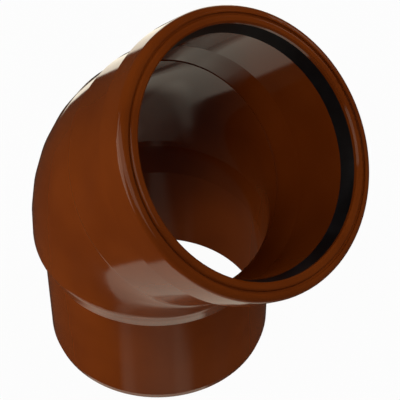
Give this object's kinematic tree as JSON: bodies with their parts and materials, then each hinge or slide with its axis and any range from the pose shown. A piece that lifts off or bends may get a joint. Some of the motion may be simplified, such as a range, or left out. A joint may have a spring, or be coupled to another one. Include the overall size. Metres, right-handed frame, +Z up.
{
  "type": "drain pipe elbow",
  "caption": "Push-fit plastic drain elbow with a plain spigot at the foot and a tilted socket that holds a rubber sealing ring.",
  "frame": {"origin": "centre of the spigot's end face, on the floor that the elbow stands on", "axes": "+Z up the spigot's axis; the socket tilts towards +X, and XZ is the plane of symmetry"},
  "size_m": [0.2347, 0.188, 0.2856],
  "materials": {
    "body_plastic": "glossy moulded orange-brown PVC",
    "ring_rubber": "smooth black rubber"
  },
  "bodies": {
    "root": {"elbow_body": "body_plastic", "sealing_ring": "ring_rubber"}
  },
  "joints": []
}
